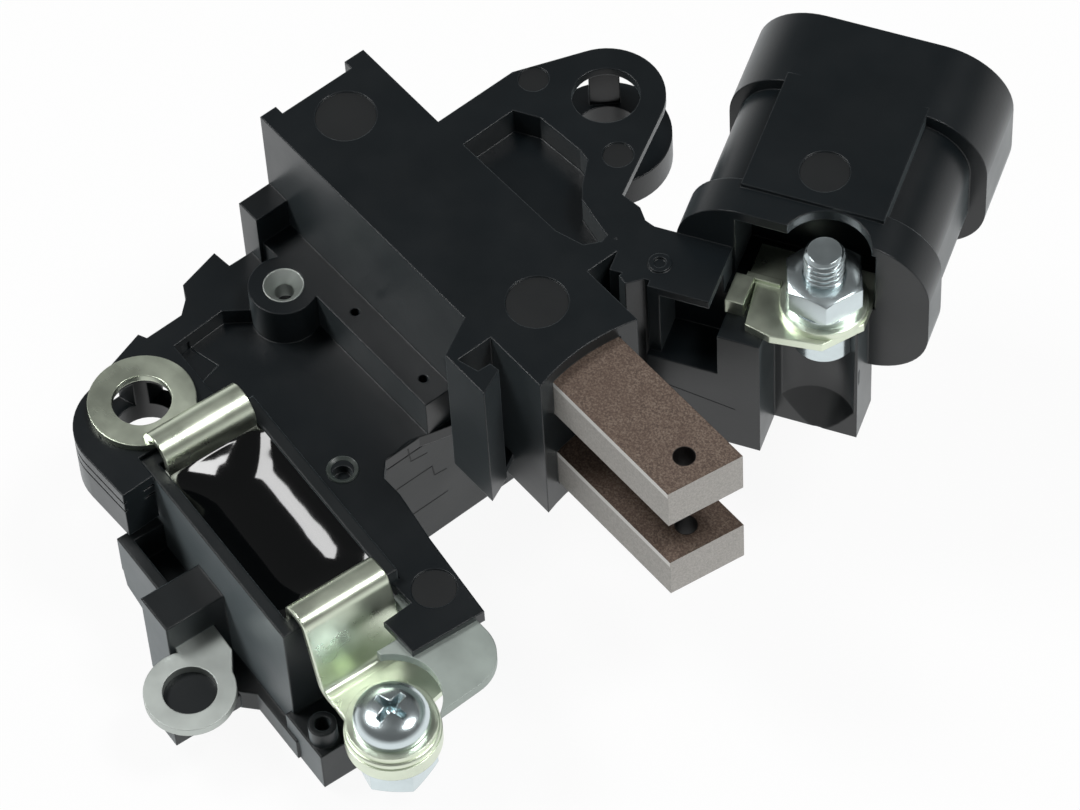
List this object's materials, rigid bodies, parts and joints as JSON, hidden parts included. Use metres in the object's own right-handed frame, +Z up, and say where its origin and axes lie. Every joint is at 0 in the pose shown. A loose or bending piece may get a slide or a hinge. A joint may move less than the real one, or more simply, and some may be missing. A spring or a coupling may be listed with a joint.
{
  "type": "alternator voltage regulator",
  "caption": "Alternator voltage regulator: sprung carbon brushes in a black moulded holder with fixing ears, a potted regulator case, strap terminals, a threaded stud and an oval plug shell",
  "frame": {"origin": "middle of the right fixing eye, at the top face of the upper leaf, which is level with the top of the brush holder", "axes": "X is the way the brushes point, Y runs from the left ear to the plug side and Z is up, away from the potted case's underside"},
  "size_m": [0.0603, 0.0959, 0.0424],
  "materials": {
    "black_plastic": "satin moulded",
    "resin": "glossy potting",
    "board": "plain",
    "zinc_strap": "zinc plated, faintly green",
    "blue_zinc": "bright blue zinc",
    "grey_metal": "dull tinned",
    "brush_carbon": "copper and carbon grains",
    "spring_steel": "bright",
    "copper_braid": "braided"
  },
  "bodies": {
    "holder": {"housing": "black_plastic", "regulator_case": "black_plastic", "potting": "resin", "circuit_board": "board", "eye_terminal": "zinc_strap", "link_strap": "zinc_strap", "strap_screw": "blue_zinc", "strap_washer": "zinc_strap", "strap_nut": "blue_zinc", "support_plate": "grey_metal", "side_lug": "grey_metal", "stud": "blue_zinc", "stud_plate": "zinc_strap", "stud_flat_washer": "zinc_strap", "stud_spring_washer": "blue_zinc", "stud_nut": "blue_zinc", "upper_spring": "spring_steel", "lower_spring": "spring_steel", "upper_lead": "copper_braid", "lower_lead": "copper_braid", "connector_pins": "zinc_strap", "fixing_eyelet": "zinc_strap"},
    "upper_slider": {"upper_brush": "brush_carbon"},
    "lower_slider": {"lower_brush": "brush_carbon"}
  },
  "joints": [
    {"name": "upper_slide", "type": "slide", "parent": "holder", "child": "upper_slider", "axis": [1, 0, 0], "range_m": [-0.013, 0], "stiffness_N_per_m": 150, "springref_m": 0.012, "deforming": ["upper_spring", "upper_lead"]},
    {"name": "lower_slide", "type": "slide", "parent": "holder", "child": "lower_slider", "axis": [1, 0, 0], "range_m": [-0.013, 0], "stiffness_N_per_m": 150, "springref_m": 0.012, "deforming": ["lower_spring", "lower_lead"]}
  ]
}
